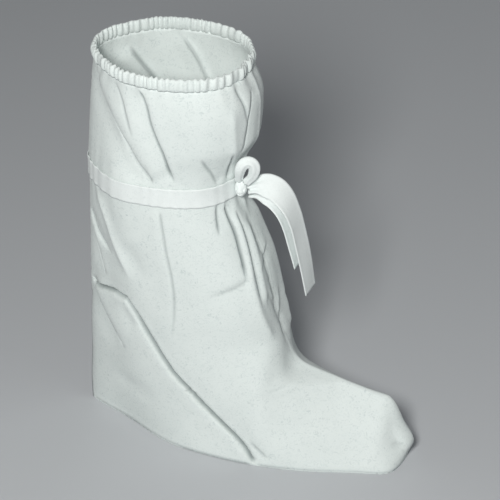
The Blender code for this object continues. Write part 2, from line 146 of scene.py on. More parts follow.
# Folds of the shell. In mm: an even rise and a one-sided step across the fold's half-width, a narrow cut with
# its own half-width, and a lap that lifts the right-hand side of the line over the left. Then the shares of
# the route over which the fold fades in and out, and the route as (share of the way round, height)
Fold = namedtuple("Fold", "name rise step width cut cut_width lap fade_in fade_out route")
FOLDS = (
    Fold("heel_main", -0.4, 1.0, 10, 6.5, 1.5, 0.6, 0.04, 0.02,
         ((0.02, 156), (0.05, 155), (0.083, 158), (0.115, 161), (0.142, 161), (0.16, 154), (0.182, 139),
          (0.2, 121), (0.216, 102), (0.222, 95), (0.225, 88), (0.224, 84), (0.221, 80), (0.218, 76),
          (0.214, 72), (0.209, 69), (0.21, 65), (0.215, 61), (0.219, 57), (0.224, 54), (0.229, 50),
          (0.237, 44), (0.245, 37), (0.258, 25), (0.267, 16), (0.274, 2))),
    Fold("heel_back", 0.0, -2.4, 18, 4.2, 2.2, -2.0, 0.1, 0.25,
         ((0.03, 155), (0.044, 149), (0.064, 133), (0.086, 122), (0.112, 107), (0.125, 94))),
    Fold("heel_pocket", -1.8, 0.0, 6, 0.0, 3.0, 0.0, 0.3, 0.4, ((0.125, 152), (0.15, 140), (0.165, 124))),
    Fold("heel_hollow", -2.0, 0.0, 10, 0.0, 3.0, 0.0, 0.3, 0.4, ((0.058, 49), (0.112, 51), (0.15, 50))),
    Fold("upper_back", -0.5, -3.6, 18, 5.0, 2.3, -1.6, 0.08, 0.1,
         ((0.07, 402), (0.098, 384), (0.137, 367), (0.174, 347), (0.211, 328), (0.247, 313), (0.268, 304))),
    Fold("upper_middle", 0.0, -0.8, 8, 1.5, 1.5, 0.0, 0.15, 0.4,
         ((0.15, 406), (0.161, 398), (0.185, 369), (0.2, 350))),
    Fold("upper_side", -0.5, -1.4, 8, 3.2, 1.4, -0.4, 0.1, 0.12,
         ((0.214, 409), (0.224, 395), (0.234, 375), (0.262, 344), (0.29, 324), (0.313, 307))),
    Fold("calf_ridge", 2.6, 0.0, 6, -0.9, 1.8, 0.0, 0.12, 0.3,
         ((0.09, 276), (0.103, 266), (0.124, 244), (0.137, 222), (0.155, 200), (0.166, 180))),
    Fold("calf_hollow", -1.6, 0.0, 9, 0.0, 3.0, 0.0, 0.3, 0.4, ((0.165, 232), (0.185, 206), (0.2, 184))),
    Fold("calf_back", -1.2, 1.5, 7, 1.8, 1.5, 0.0, 0.2, 0.3,
         ((0.03, 242), (0.053, 228), (0.085, 213), (0.12, 205))),
    Fold("calf_edge", 0.0, -1.2, 7, 1.8, 1.5, 0.0, 0.2, 0.2,
         ((0.04, 222), (0.057, 208), (0.07, 192), (0.085, 172))),
    Fold("side_packing", 0.0, 0.8, 9, 1.4, 1.2, 0.0, 0.06, 0.35,
         ((0.28, 276), (0.275, 260), (0.266, 222), (0.262, 181), (0.25, 142), (0.24, 118))),
    Fold("shin_near", 2.8, 0.0, 6, -0.9, 1.8, 0.0, 0.12, 0.12,
         ((0.452, 268), (0.446, 240), (0.439, 217), (0.43, 192), (0.431, 168), (0.438, 150), (0.455, 126))),
    Fold("shin_beside", -0.6, 0.0, 6, 3.0, 1.5, 0.0, 0.1, 0.25,
         ((0.435, 278), (0.434, 252), (0.428, 226), (0.418, 194))),
    Fold("shin_second", 1.8, 0.0, 5, -0.6, 1.8, 0.0, 0.2, 0.2,
         ((0.476, 256), (0.47, 226), (0.458, 194), (0.456, 160))),
    Fold("shin_between", -1.0, 0.0, 5, 2.4, 1.5, 0.0, 0.15, 0.2,
         ((0.46, 268), (0.457, 236), (0.446, 204), (0.443, 166))),
    Fold("ankle_corner", -0.6, 0.8, 8, 0.9, 1.8, 0.0, 0.06, 0.6,
         ((0.426, 200), (0.39, 193), (0.354, 187), (0.318, 180))),
    Fold("shin_far", 2.5, 0.0, 8, -0.5, 2.4, 0.0, 0.15, 0.1,
         ((0.527, 270), (0.553, 230), (0.555, 180), (0.545, 110))),
    Fold("shin_valley", -2.6, 0.0, 6, 0.9, 2.0, 0.0, 0.15, 0.2, ((0.5, 270), (0.495, 200), (0.5, 105))),
    Fold("shin_cross_a", 0.0, 1.4, 6, 1.4, 1.8, 0.0, 0.2, 0.3, ((0.528, 216), (0.5, 210), (0.466, 200))),
    Fold("shin_cross_b", 0.0, -1.2, 6, 1.2, 1.8, 0.0, 0.2, 0.3, ((0.465, 178), (0.487, 158), (0.508, 138))),
    Fold("shin_cross_c", 0.0, 1.2, 6, 1.1, 1.8, 0.0, 0.2, 0.3, ((0.528, 168), (0.505, 142), (0.485, 118))),
    Fold("knot_left", -0.5, 0.8, 6, 1.8, 1.5, 0.0, 0.3, 0.08,
         ((0.345, 338), (0.37, 326), (0.39, 317), (0.416, 301))),
    Fold("knot_upper", -0.5, -0.8, 6, 2.6, 1.5, 0.0, 0.3, 0.08,
         ((0.412, 342), (0.432, 324), (0.443, 311), (0.448, 301))),
    Fold("front_upper", -0.8, 1.2, 6, 2.6, 1.5, 0.0, 0.1, 0.15,
         ((0.478, 397), (0.457, 378), (0.449, 356), (0.446, 334))),
    Fold("front_ridge", 1.8, 0.0, 6, -0.4, 1.8, 0.0, 0.25, 0.25,
         ((0.405, 396), (0.41, 366), (0.42, 336), (0.432, 308))),
    Fold("front_pleat", -0.4, 0.0, 5, 1.8, 1.5, 0.0, 0.1, 0.4, ((0.43, 408), (0.44, 388), (0.448, 364))),
    Fold("knot_lower", -0.6, 0.8, 6, 2.4, 1.5, 0.0, 0.08, 0.4, ((0.415, 279), (0.405, 264), (0.395, 246))),
    Fold("toe_side", -0.3, 0.5, 5, 1.6, 1.5, 0.0, 0.3, 0.3, ((0.272, 26), (0.282, 19), (0.295, 9))),
    Fold("toe_pucker", -0.2, 0.3, 5, 1.3, 1.3, 0.0, 0.3, 0.3, ((0.46, 23), (0.473, 23), (0.487, 18))),
    Fold("instep_fill", 4.5, 0.0, 14, 0.0, 3.0, 0.0, 0.35, 0.35,
         ((0.452, 140), (0.453, 124), (0.455, 110), (0.45, 98), (0.438, 89), (0.42, 82), (0.398, 77),
          (0.375, 71))),
    Fold("toe_front", 2.8, 0.0, 13, 0.0, 3.0, 0.0, 0.25, 0.25, ((0.462, 46), (0.5, 46), (0.538, 46))),
    Fold("far_heel", -0.8, 1.4, 10, 5.0, 1.5, 0.0, 0.08, 0.03,
         ((0.954, 150), (0.905, 147), (0.863, 141), (0.834, 131), (0.812, 118), (0.796, 103), (0.789, 92),
          (0.79, 84), (0.798, 76), (0.808, 69), (0.804, 61), (0.796, 53), (0.788, 43), (0.784, 31),
          (0.779, 18), (0.775, 2))),
    Fold("far_ankle", -0.8, 1.6, 10, 1.8, 2.0, 0.0, 0.1, 0.4,
         ((0.545, 154), (0.578, 138), (0.591, 124), (0.602, 112), (0.611, 100), (0.62, 90), (0.652, 80),
          (0.686, 71), (0.701, 61), (0.699, 49), (0.702, 36), (0.705, 20), (0.706, 2))),
    Fold("far_calf", -1.0, 1.5, 9, 1.6, 2.0, 0.0, 0.2, 0.3, ((0.86, 272), (0.82, 222), (0.79, 165))),
    Fold("far_packing", 0.0, 0.8, 9, 1.3, 1.5, 0.0, 0.06, 0.35,
         ((0.72, 276), (0.726, 250), (0.734, 215), (0.738, 178), (0.75, 140), (0.76, 118))),
    Fold("far_upper", -1.0, 2.0, 9, 2.0, 1.8, 0.0, 0.12, 0.2,
         ((0.91, 400), (0.86, 366), (0.8, 334), (0.74, 306))),
    Fold("far_upper_side", -0.6, 1.4, 8, 1.5, 1.8, 0.0, 0.15, 0.25,
         ((0.79, 408), (0.76, 384), (0.72, 350), (0.67, 310))),
    Fold("far_knot", -0.6, 0.8, 6, 1.5, 1.8, 0.0, 0.3, 0.1, ((0.62, 340), (0.58, 318), (0.55, 302))),
    Fold("far_toe_pucker", -0.2, 0.3, 5, 0.9, 1.5, 0.0, 0.3, 0.3, ((0.56, 34), (0.545, 29), (0.525, 24))),
)

# How far a fold reaches in its half-widths, and the steps on each leg of its route. In mm: how soft a lap's
# edge is, how far the lap reaches, and the cut from which the painted shade in the cut is full
FOLD_REACH = 3
FOLD_STEPS = 8
LAP_SOFTNESS = 1.1
LAP_REACH = 16
FULL_SHADE_CUT = 3.0
# Vertex attribute of the shell that carries the painted shade darkening the cuts of its folds
SHADE_LAYER = "fold_shade"

# Waves round the shaft: how many, the uneven pitch as (count round, phase, swing), and their mean height
PLEATS = 31
PLEAT_SWINGS = ((3, 0.4, 2.2), (5, 2.1, 1.1), (11, 4.0, 0.7))
RUFFLES = 72
RUFFLE_SWINGS = ((4, 0.4, 2.4), (9, 1.9, 1.2), (17, 0.8, 0.8))
WAVE_MEAN = 0.75

# Gathers beside the tape and under the collar: depths and fades in mm, spreads round the shaft in radians
BAND_GATHER = 0.7
BAND_GATHER_FRONT = 3.0
BAND_GATHER_BACK = 0.8
BAND_GATHER_START = (6, 16)
BAND_GATHER_FADE = 16
COLLAR_GATHER = 0.7
COLLAR_GATHER_FRONT = 0.9
COLLAR_GATHER_FADE = 11
FRONT_SPREAD = 0.45
BACK_SPREAD = 0.6

# Seams in mm: the sewn ridge, and the puckers beside it, which fade in between two heights
SEAM_RIDGE = 0.9
SEAM_HALF = 1.5
PUCKER_DEPTH = 0.25
PUCKER_PITCH = 11
PUCKER_AWAY = 5
PUCKER_SPREAD = 4
PUCKER_HEIGHTS = (95, 130)

# Unevenness of loose cloth: waves to the metre, depth in mm, and a shift that sets the two patterns apart
Slack = namedtuple("Slack", "scale depth shift")
SLACKS = (Slack(14, 0.8, (0, 0, 0)), Slack(38, 0.2, (3, 7, 1)))

# Where the relief is held flat: the share kept under the tape and on the floor, and how far from the tape,
# the collar and the floor each hold reaches in mm. Its upward part comes in between the last two heights
BAND_HOLD = 0.04
BAND_HOLD_ENDS = (8, 20)
COLLAR_HOLD_END = 14
FLOOR_HOLD = 0.3
FLOOR_HOLD_END = 10
UPRIGHT_ENDS = (2, 25)

# Mesh of the shell, and its refinement: reach from a fold's line and the least cut that is refined, in mm
RING_STEPS = 361
PROFILE_STEPS = 800
SHELL_COLUMNS = 126
SHELL_ROWS = 114
REFINEMENTS = ((6.5, 0.4), (3.4, 1.4), (2.2, 3.0))
SEAM_REFINEMENT = 6

# Sole panel in mm
SOLE_COLUMNS = 180
SOLE_INSET = 1.2
SOLE_EDGE = 0.45

# Collar casing in mm: offset from the shell's edge line, height from the shell's edge or from the casing's
# top, and share of the ruffles. Then their depth, and their lift, which lags by some columns
CasingRow = namedtuple("CasingRow", "offset datum shift ruffle")
CASING_ROWS = (
    CasingRow(0.5, "edge", -1.5, 0.5), CasingRow(1.3, "edge", 0.8, 0.6), CasingRow(2.0, "edge", 3.5, 0.9),
    CasingRow(1.9, "top", -4.5, 1.1), CasingRow(1.1, "top", -1.2, 1.2), CasingRow(0.0, "top", 0.0, 1.2),
    CasingRow(-1.0, "top", -1.2, 1.2), CasingRow(-1.9, "top", -4.5, 1.0), CasingRow(-2.0, "edge", 3.5, 0.8),
    CasingRow(-1.4, "edge", 0.8, 0.6), CasingRow(-0.7, "edge", -1.0, 0.5),
)
CASING_COLUMNS = 460
RUFFLE_DEPTH = 1.1
RUFFLE_LIFT = 0.9
RUFFLE_LAG = 3

# Stitches under the casing: offsets and half-thicknesses in mm, half-length as a share of the pitch
STITCH_COLUMNS = 900
STITCH_OFFSET = 1.0
STITCH_RUFFLE = 0.55
STITCH_RISE = 0.4
STITCH_HALF_LENGTH = 0.38
STITCH_HALVES = (0.32, 0.36)

# Tape round the calf in mm: distance off the shell, ripple at its middle and edges, and sway of its height.
# The hem's place and spread are shares of half the tape's height
BAND_COLUMNS = 13
BAND_STEPS = 300
BAND_OFFSET = 0.55
BAND_RIPPLE = 0.15
BAND_EDGE_RIPPLE = 0.4
BAND_HEM = 0.15
BAND_HEM_PLACE = 0.86
BAND_HEM_SPREAD = 0.10
BAND_SWAY = 0.7
BAND_SWAYS = 3
BAND_SWAY_PHASE = 0.6

# Free ends of the tape in mm: the length over which they open, the share of the width that they start with,
# their pleats at the knot in half turns and their curl in radians. The hem is in shares of half the width
TAIL_COLUMNS = 17
TAIL_STEP = 2
TAIL_OPENS = 24
TAIL_START = 0.55
TAIL_PLEAT = 1.5
TAIL_PLEATS = 2.5
TAIL_CURL = 0.5
TAIL_CURL_TURNS = 9
TAIL_CURL_LEAN = 1.4
TAIL_HEM = 0.30
TAIL_HEM_PLACE = 0.88
TAIL_HEM_SPREAD = 0.09

# Loop of rolled tape with lengthwise pleats: half-sizes in mm at its ends, and what they gain at its middle
LOOP_STEP = 1.5
LOOP_WIDE = (2.8, 2.9)
LOOP_THICK = (2.4, 2.5)
LOOP_ENDS = (0.12, 0.88)
LOOP_SIDES = 28
LOOP_PLEATS = 5
LOOP_PLEAT_DEPTH = 0.11
LOOP_PLEAT_PHASE = 0.6
LOOP_FACING = (0.3, -0.9, 0.3)

# Knot: swirled core as shares of the knot's half-sizes, and one wrap of tape across it in mm
KNOT_CORE = 0.86
KNOT_SWIRL = 0.12
KNOT_LOBES = 4
KNOT_TWIST = 5.0
WRAP_STEPS = 60
WRAP_COLUMNS = 9
WRAP_RADII = (0.86, 0.35, 0.88)
WRAP_HALF = 4.2
WRAP_CROWN = 0.8
WRAP_FALL = 1.5
WRAP_RIB = 0.4
WRAP_THICKNESS = 0.9

# Lights: angles in degrees round the cover and above the horizon, distance and size in metres
Light = namedtuple("Light", "name azimuth elevation distance size colour")
LIGHTS = (
    Light("key", 9, 36, 2.2, 0.5, (1.0, 0.99, 0.97)),
    Light("fill", 75, 30, 2.4, 1.4, (0.94, 0.97, 1.0)),
    Light("back", 168, 42, 2.4, 1.6, (0.97, 0.98, 1.0)),
)
SKY_COLOUR = (0.93, 0.97, 1.0, 1.0)
FLOOR_RADIUS = 7.0
SENSOR_WIDTH = 36

# Fibre web: share of the fine grain, shift of the mottling, contrast. Cloth: spread of the roughness to both
# sides, depth of the web in mm
GRAIN_SHARE = 0.35
MOTTLE_SHIFT = -0.22
WEB_CONTRAST = 1.3
ROUGHNESS_SPREAD = 0.07
WEB_DEPTH = 0.25

# Sockets of a colour mix node
MIX_FACTOR = 0
MIX_FIRST = 6
MIX_SECOND = 7
MIX_COLOUR = 2

# Tie tape routes in mm from the knot's centre, and the steps of the curve on each of their legs
ROUTE_STEPS = 20
LOOP_ROUTE = (
    (-1.6, -3.0, 9.4), (0.0, -7, 16), (2.5, -11.5, 26), (5.5, -12, 32.5), (10, -10.5, 35), (14.5, -9, 33),
    (16, -8, 27), (13, -6, 17.5), (6.0, -3.5, 7.9),
)
Tail = namedtuple("Tail", "node route first_across last_across")
TAILS = (
    Tail("tie_tail_front",
         ((7.0, -1, 1), (20, -2, 7), (35, -2, 5), (47, -2, -7), (55, -1, -25), (60, 0, -46), (65, 1, -73),
          (70, 2, -105)),
         (0.0, 0.5, 0.87), (0.15, 0.98, 0.0)),
    Tail("tie_tail_rear",
         ((6.7, 2, -5), (18, 2, -2), (30, 2, -5), (40, 3, -17), (47, 4, -34), (52, 5, -55), (57, 6, -79)),
         (0.0, 0.5, 0.87), (0.15, 0.98, 0.0)),
)


class BootCoverSizes(bpy.types.PropertyGroup):
    """Sizes of the cover's cloth and tape."""
    foot_length: bpy.props.FloatProperty(
        name="Foot length", description="Length of the foot panel, heel to toe",
        default=UPPER_BOX[1][0] - UPPER_BOX[0][0], subtype="DISTANCE", unit="LENGTH")
    ball_width: bpy.props.FloatProperty(
        name="Ball width", description="Width that the sections' half-widths are shares of",
        default=132 * MM, subtype="DISTANCE", unit="LENGTH")
    cloth_thickness: bpy.props.FloatProperty(
        name="Cloth thickness", description="Thickness of the nonwoven wall",
        default=0.6 * MM, subtype="DISTANCE", unit="LENGTH")
    fold_depth: bpy.props.FloatProperty(
        name="Fold depth", description="Share of the full depth of the folds", default=1.0, subtype="FACTOR")
    tape_width: bpy.props.FloatProperty(
        name="Tape width", description="Width of the tie tape laid flat",
        default=24 * MM, subtype="DISTANCE", unit="LENGTH")
    tape_thickness: bpy.props.FloatProperty(
        name="Tape thickness", description="Thickness of the folded tape",
        default=0.6 * MM, subtype="DISTANCE", unit="LENGTH")
    band_height: bpy.props.FloatProperty(
        name="Band height", description="Height of the tape as drawn round the calf",
        default=21 * MM, subtype="DISTANCE", unit="LENGTH")
    stitch_pitch: bpy.props.FloatProperty(
        name="Stitch pitch", description="Distance between the stitches under the collar casing",
        default=3.4 * MM, subtype="DISTANCE", unit="LENGTH")


class BootCoverFinish(bpy.types.PropertyGroup):
    """Colours of the cover and of its stage."""
    cloth_light: bpy.props.FloatVectorProperty(
        name="Cloth, light", description="Cloth between its fibre bundles", subtype="COLOR", size=4,
        min=0, max=1, default=(0.79, 0.85, 0.83, 1))
    cloth_dark: bpy.props.FloatVectorProperty(
        name="Cloth, dark", description="Cloth along its fibre bundles", subtype="COLOR", size=4,
        min=0, max=1, default=(0.62, 0.69, 0.68, 1))
    # Painted shade: the colour that the cuts of sharp folds are darkened towards
    fold_shade: bpy.props.FloatVectorProperty(
        name="Fold shade", description="Cloth at the bottom of a sharp fold", subtype="COLOR", size=4,
        min=0, max=1, default=(0.27, 0.31, 0.31, 1))
    tape_light: bpy.props.FloatVectorProperty(
        name="Tape, light", description="Face of the tie tape", subtype="COLOR", size=4,
        min=0, max=1, default=(0.84, 0.89, 0.88, 1))
    tape_dark: bpy.props.FloatVectorProperty(
        name="Tape, dark", description="Fibre lines of the tie tape", subtype="COLOR", size=4,
        min=0, max=1, default=(0.74, 0.80, 0.79, 1))
    thread: bpy.props.FloatVectorProperty(
        name="Thread", description="Sewing thread", subtype="COLOR", size=4,
        min=0, max=1, default=(0.80, 0.84, 0.83, 1))
    floor: bpy.props.FloatVectorProperty(
        name="Floor", description="Pale studio floor", subtype="COLOR", size=4,
        min=0, max=1, default=(0.56, 0.58, 0.60, 1))


class BootCoverStudio(bpy.types.PropertyGroup):
    """Camera and light."""
    azimuth: bpy.props.FloatProperty(
        name="Azimuth", description="Camera's angle round the cover, from straight at its right side",
        default=math.radians(18), subtype="ANGLE", unit="ROTATION")
    elevation: bpy.props.FloatProperty(
        name="Elevation", description="Camera's angle above the horizon",
        default=math.radians(32), subtype="ANGLE", unit="ROTATION")
    distance: bpy.props.FloatProperty(
        name="Distance", description="Camera to the middle of the cover",
        default=2.6, subtype="DISTANCE", unit="LENGTH")
    frame_width: bpy.props.FloatProperty(
        name="Frame width", description="Width of the picture at the cover",
        default=0.49, subtype="DISTANCE", unit="LENGTH")
    key_power: bpy.props.FloatProperty(
        name="Key power", description="Power of the soft key light",
        default=41, subtype="POWER", unit="POWER")
    fill_power: bpy.props.FloatProperty(
        name="Fill power", description="Power of the soft fill light",
        default=1, subtype="POWER", unit="POWER")
    back_power: bpy.props.FloatProperty(
        name="Back power", description="Power of the soft light from behind",
        default=5, subtype="POWER", unit="POWER")
    sky: bpy.props.FloatProperty(
        name="Sky", description="Strength of the even light from all round", default=0.10, min=0)


def smooth_through(at, knots, values):
    """Monotone cubic curve through the knots, with no overshoot between them."""
    at = np.atleast_1d(np.asarray(at, float))
    knots = np.asarray(knots, float)
    values = np.asarray(values, float)
    span = np.diff(knots)
    grade = np.diff(values) / span
    slope = np.zeros_like(values)
    for i in range(1, len(values) - 1):
        if grade[i - 1] * grade[i] > 0:
            left = 2 * span[i] + span[i - 1]
            right = span[i] + 2 * span[i - 1]
            slope[i] = (left + right) / (left / grade[i - 1] + right / grade[i])
    for end, beside in ((0, 1), (-1, -2)):
        guess = (2 * span[end] + span[beside]) * grade[end] - span[end] * grade[beside]
        guess /= span[end] + span[beside]
        slope[end] = guess if guess * grade[end] > 0 else 0.0
    i = np.clip(np.searchsorted(knots, at) - 1, 0, len(knots) - 2)
    t = (at - knots[i]) / span[i]
    rise = values[i + 1] - values[i]
    blend = t * t * (3 - 2 * t)
    curve_in = t * (1 - t) ** 2 * span[i] * slope[i]
    curve_out = t * t * (t - 1) * span[i] * slope[i + 1]
    return values[i] + rise * blend + curve_in + curve_out


def soft_step(value, low, high):
    """0 below low, 1 above high, and a smooth rise between them."""
    t = np.clip((value - low) / (high - low), 0, 1)
    return t * t * (3 - 2 * t)


def hump(at, place, spread):
    """Smooth hump that is one high at its place and falls away to both sides."""
    return np.exp(-((at - place) / spread)**2)


def running_sum(steps):
    """Way covered before each step and after the last."""
    return np.concatenate([[0], np.cumsum(steps)])


def unit(vectors):
    """Vectors brought to a length of one."""
    return vectors / np.linalg.norm(vectors, axis=-1, keepdims=True)


def level_outward(rings):
    """Level outward direction at each point of closed rings."""
    around = np.roll(rings, -1, axis=-2) - np.roll(rings, 1, axis=-2)
    return unit(np.stack([around[..., 1], -around[..., 0], np.zeros(around.shape[:-1])], axis=-1))


def half_width(angle, halves):
    """Half-width of a section at each angle, eased over its neighbours so that the stations don't show."""
    total = 0.0
    for shift, weight in zip((-EASE, 0.0, EASE), EASE_WEIGHTS):
        at = angle + shift
        inside = math.pi - np.abs(math.pi - np.abs(at))
        mirrored = np.where((at < 0) | (at > math.pi), -1.0, 1.0)
        total = total + weight * mirrored * smooth_through(inside, STATION_ANGLES, halves)
    return total


def end_at(name, height):
    """Back or front end of the shell at a height, as a share of the foot length."""
    return smooth_through(height, OUTLINE_HEIGHTS, [getattr(o, name) for o in OUTLINE])[0]


def section_half(share, height):
    """Half-width of the level section at a height, in half ball widths, at shares of its length."""
    heights = [s.height * MM for s in SECTIONS]
    halves = [smooth_through(height, heights, [getattr(s, name) for s in SECTIONS])[0]
              for name in Section._fields[1:]]
    angle = np.arccos(1 - 2 * np.clip(share, 0, 1))
    return half_width(angle, [0.0] + halves + [0.0])


def stretched(at, values):
    """Values lifted to the taut line that lies over all of them."""
    kept = []
    for x, y in zip(at, values):
        while len(kept) > 1:
            (x0, y0), (x1, y1) = kept[-2:]
            if (x1 - x0) * (y - y0) < (y1 - y0) * (x - x0):
                break
            kept.pop()
        kept.append((x, y))
    return np.interp(at, *zip(*kept))


def wall_half(along, height, back):
    """Half-width of the walls that rise from the footprint to the ankle and to the ridge of the vamp."""
    edge_along = np.array([end_at("front", e.height * MM) - e.setback for e in EDGES])[::-1]
    edge_half = [e.half for e in EDGES][::-1]
    low = section_half((along - back) / (end_at("front", FOOTPRINT) - back), FOOTPRINT)
    shaft = section_half((along - back) / (end_at("front", ANKLE) - back), ANKLE)
    over = np.clip(along, edge_along[0], edge_along[-1])
    behind = along < edge_along[0]
    high = np.where(behind, shaft, smooth_through(over, edge_along, edge_half))
    top = np.where(behind, ANKLE, smooth_through(over, edge_along, EDGE_HEIGHTS[::-1]))
    rise = np.clip((height - FOOTPRINT) / (top - FOOTPRINT), 0, 1)
    curve = smooth_through(np.clip(along, 0, 1), [c.along for c in CURVES], [c.inward for c in CURVES])
    rise += curve * rise * (1 - rise)
    return low + (high - low) * rise


def foot_half(along, height, back, front, on_left):
    """Half-width below the ankle: the walls, with flat flanks, closed round the corner of the front."""
    corner = front - smooth_through(max(height, EDGE_HEIGHTS[0]), EDGE_HEIGHTS, [e.setback for e in EDGES])[0]
    place = np.minimum(along, corner)
    first, last = FLANK_ENDS
    flank = np.linspace(first, min(corner, last), FLANK_STEPS)
    taut = stretched(flank, wall_half(flank, height, back))
    lower, upper = FLANK_SLACK
    hold = 1 - np.where(on_left, *FLANK_LOSS[::-1]) * np.clip((height / MM - lower) / (upper - lower), 0, 1)
    side = wall_half(place, height, back)
    on_flank = (place > flank[0]) & (place < flank[-1])
    side += hold * np.where(on_flank, np.interp(place, flank, taut) - side, 0.0)
    beyond = np.clip((along - corner) / (front - corner), 0, 1)
    tip = TIP_STATION + (1 - TIP_STATION) * beyond
    return side * section_half(tip, ANKLE) / section_half(TIP_STATION, ANKLE)


def section_ring(sizes, height, shares):
    """Points of the bare shell at one height, at shares of the way round from the heel by the right side."""
    back = end_at("back", height)
    front = end_at("front", height)
    turn = np.linspace(0, 1, RING_STEPS)
    share = (1 - np.cos(2 * math.pi * turn)) / 2
    along = back + (front - back) * share
    on_left = turn > 0.5
    if height >= ANKLE:
        half = section_half(share, height)
    else:
        half = foot_half(along, height, back, front, on_left)
    x = sizes.foot_length * (along - 0.5)
    y = np.where(on_left, 1.0, -1.0) * half * sizes.ball_width / 2
    way = running_sum(np.hypot(np.diff(x), np.diff(y)))
    at = np.asarray(shares) % 1.0 * way[-1]
    return np.column_stack([np.interp(at, way, x), np.interp(at, way, y), np.full(len(at), height)])


def fold_line(sizes, fold):
    """The fold's route as closely spaced points on the bare shell."""
    shares, heights = np.array(fold.route).T
    legs = np.arange(len(shares))
    fine = np.linspace(0, legs[-1], FOLD_STEPS * legs[-1] + 1)
    shares = smooth_through(fine, legs, shares)
    heights = smooth_through(fine, legs, heights) * MM
    return np.vstack([section_ring(sizes, height, [share]) for share, height in zip(shares, heights)])


def across_line(line, points, normals, reach):
    """Which points lie near a line, how far across it each is in mm, and its share of the way along."""
    low = line.min(axis=0) - reach
    high = line.max(axis=0) + reach
    near = np.flatnonzero(np.all((points > low) & (points < high), axis=1))
    leg = np.diff(line, axis=0)
    leg_length = np.linalg.norm(leg, axis=1)
    way = running_sum(leg_length)
    away = points[near][:, None, :] - line[:-1][None]
    t = np.clip(np.einsum("psk,sk->ps", away, leg) / leg_length**2, 0, 1)
    apart = away - t[..., None] * leg[None]
    distance = np.linalg.norm(apart, axis=2)
    nearest = distance.argmin(axis=1)
    each = np.arange(len(near))
    share = (way[nearest] + t[each, nearest] * leg_length[nearest]) / way[-1]
    sideways = np.einsum("pk,pk->p", np.cross(leg[nearest], normals[near]), apart[each, nearest])
    return near, np.sign(sideways) * distance[each, nearest] / MM, share


def fold_relief(sizes, fold, points, normals):
    """Height in metres that one fold adds at each point, and the painted shade that each point gets in its
    cut.
    """
    reach = FOLD_REACH * (fold.width + (LAP_REACH if fold.lap else 0)) * MM
    near, across, share = across_line(fold_line(sizes, fold), points, normals, reach)
    fade = soft_step(share, 0, fold.fade_in) * soft_step(1 - share, 0, fold.fade_out)
    wide = across / fold.width
    profile = fold.rise * np.exp(-wide**2) + fold.step * wide * np.exp(0.5 - wide**2)
    groove = hump(across, 0, fold.cut_width)
    profile -= fold.cut * groove
    profile += fold.lap * np.tanh(across / LAP_SOFTNESS) * np.exp(-np.abs(across) / LAP_REACH)
    relief = np.zeros(len(points))
    relief[near] = fade * profile * MM
    # Painted shade: darkening painted into the colour along the fold's cut, darker for deeper cuts
    shade = np.zeros(len(points))
    shade[near] = fade * groove * np.clip(fold.cut / FULL_SHADE_CUT, 0, 1)
    return relief, shade


def waves_round(angle, count, swings):
    """Wave of uneven pitch and height round the shaft, at most one high."""
    swing = sum(amount * np.sin(turns * angle + phase) for turns, phase, amount in swings)
    turns, phase = swings[1][:2]
    height = WAVE_MEAN + (1 - WAVE_MEAN) * np.sin(turns * angle - phase)
    return height * np.sin(count * angle + swing)


def shaft_angle(sizes, points):
    """Angle of each point round the middle of the shaft: zero at the heel, half a turn at the shin."""
    middle = sizes.foot_length * (SHAFT_MIDDLE - 0.5)
    return np.arctan2(points[:, 1], middle - points[:, 0])


def gathers_relief(sizes, points):
    """Pleats where the tape and the collar draw the shell in."""
    angle = shaft_angle(sizes, points)
    height = points[:, 2]
    front = hump(np.abs(angle), math.pi, FRONT_SPREAD)
    back = hump(angle, 0, BACK_SPREAD)
    from_band = np.abs(height - BAND_HEIGHT) / MM
    at_band = soft_step(from_band, *BAND_GATHER_START) * np.exp(-from_band / BAND_GATHER_FADE)
    at_collar = np.exp(-(UPPER_EDGE - height) / MM / COLLAR_GATHER_FADE)
    depth = (BAND_GATHER + BAND_GATHER_FRONT * front + BAND_GATHER_BACK * back) * at_band
    depth += (COLLAR_GATHER + COLLAR_GATHER_FRONT * front) * at_collar
    return waves_round(angle, PLEATS, PLEAT_SWINGS) * depth * MM


def seam_relief(points):
    """Sewn ridges down the middle of the front and back, with small puckers beside them."""
    across = np.abs(points[:, 1]) / MM
    height = points[:, 2] / MM
    ridge = SEAM_RIDGE * hump(across, 0, SEAM_HALF)
    beside = hump(across, PUCKER_AWAY, PUCKER_SPREAD) * soft_step(height, *PUCKER_HEIGHTS)
    puckers = PUCKER_DEPTH * beside * np.sin(height / PUCKER_PITCH * 2 * math.pi)
    return (ridge + puckers) * MM


def slack_relief(points):
    """Soft unevenness of cloth that hangs loose."""
    relief = np.zeros(len(points))
    for slack in SLACKS:
        shift = Vector(slack.shift)
        relief += slack.depth * np.array([noise.noise(Vector(p) * slack.scale + shift) for p in points])
    return relief * MM


def shell_relief(sizes, points, normals):
    """Everything that lifts or sinks the cloth from the bare sections, and the painted shade in its cuts."""
    relief = np.zeros(len(points))
    shade = np.zeros(len(points))
    for fold in FOLDS:
        # depth here is the painted shade of the fold's cut; the darkest fold is kept
        lift, depth = fold_relief(sizes, fold, points, normals)
        relief += lift
        shade = np.maximum(shade, depth)
    relief = relief * sizes.fold_depth + seam_relief(points) + slack_relief(points)
    height = points[:, 2] / MM
    from_band = np.abs(height - BAND_HEIGHT / MM)
    at_band = BAND_HOLD + (1 - BAND_HOLD) * soft_step(from_band, *BAND_HOLD_ENDS)
    at_collar = soft_step(UPPER_EDGE / MM - height, 0, COLLAR_HOLD_END)
    at_floor = FLOOR_HOLD + (1 - FLOOR_HOLD) * soft_step(height, 0, FLOOR_HOLD_END)
    return relief * at_band * at_collar * at_floor + gathers_relief(sizes, points), shade * at_band


